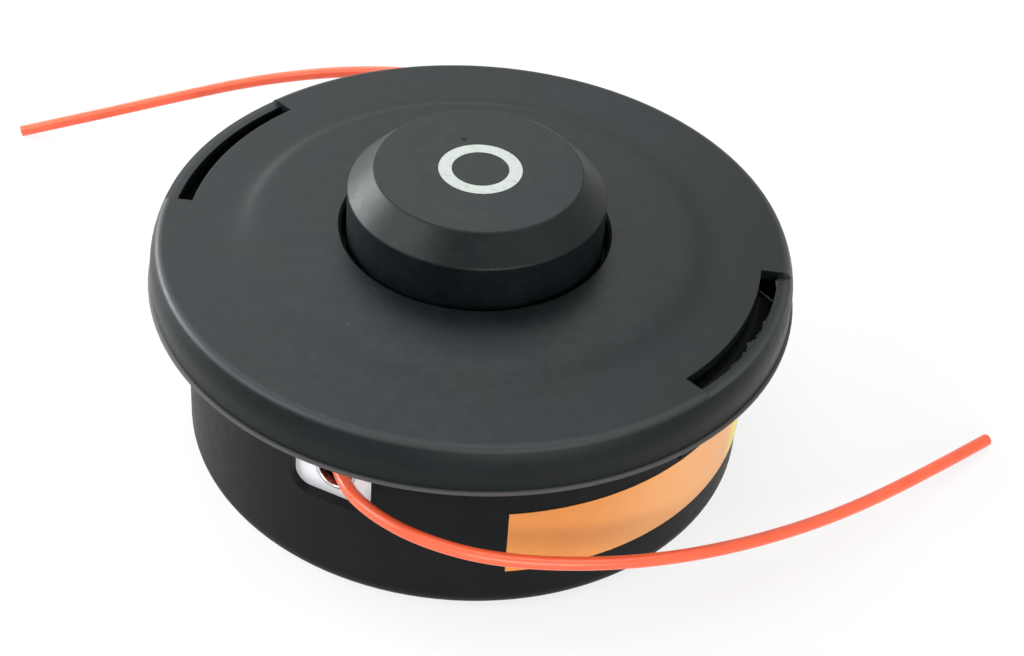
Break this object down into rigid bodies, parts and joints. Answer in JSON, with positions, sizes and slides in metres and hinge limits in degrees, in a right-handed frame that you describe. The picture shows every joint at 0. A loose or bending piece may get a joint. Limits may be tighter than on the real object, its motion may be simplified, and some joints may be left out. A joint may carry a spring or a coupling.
{
  "type": "bump feed trimmer head",
  "caption": "Round bump feed line head for a trimmer: drum housing with line eyelets, snap-fit cover, sprung indexing spool and a bevelled bump knob.",
  "frame": {"origin": "centre of the flat drive-side face that the head lies on", "axes": "+Z along the spin axis towards the bump knob, eyelets on -Y and +Y, cover latches on +X and -X"},
  "size_m": [0.2511, 0.149, 0.0654],
  "materials": {
    "black_moulding": "matte black glass-filled nylon",
    "knob_moulding": "matte black nylon",
    "spool_moulding": "matte black nylon",
    "insert_steel": "plain turned steel",
    "bright_plate": "bright satin plate",
    "eyelet_steel": "bright rolled steel",
    "label_foil": "orange printed foil",
    "spring_steel": "plain spring steel",
    "cutting_line": "translucent orange-red nylon line"
  },
  "bodies": {
    "housing": {"housing": "black_moulding", "cover": "black_moulding", "drive_insert": "insert_steel", "eyelet_plate_front": "bright_plate", "eyelet_plate_rear": "bright_plate", "eyelet_bush_front": "eyelet_steel", "eyelet_bush_rear": "eyelet_steel", "side_label": "label_foil", "spring": "spring_steel", "line_tail_front": "cutting_line", "line_tail_rear": "cutting_line"},
    "spring_seat": {"spring_seat": "spring_steel"},
    "spool": {"spool": "spool_moulding", "bump_knob": "knob_moulding", "line_coil_lower": "cutting_line", "line_coil_upper": "cutting_line"}
  },
  "joints": [
    {"name": "bump_press", "type": "slide", "parent": "housing", "child": "spring_seat", "axis": [0, 0, -1], "range_m": [0, 0.007], "stiffness_N_per_m": 2000, "springref_m": -0.006, "deforming": ["spring"]},
    {"name": "spool_index", "type": "hinge", "parent": "spring_seat", "child": "spool", "pos_m": [0, 0, 0.0308], "axis": [0, 0, 1], "range_deg": [0, 22.5]}
  ],
  "couplings": [
    {"joint": "spool_index", "follows": "bump_press", "rad_per_m": 56.1}
  ]
}
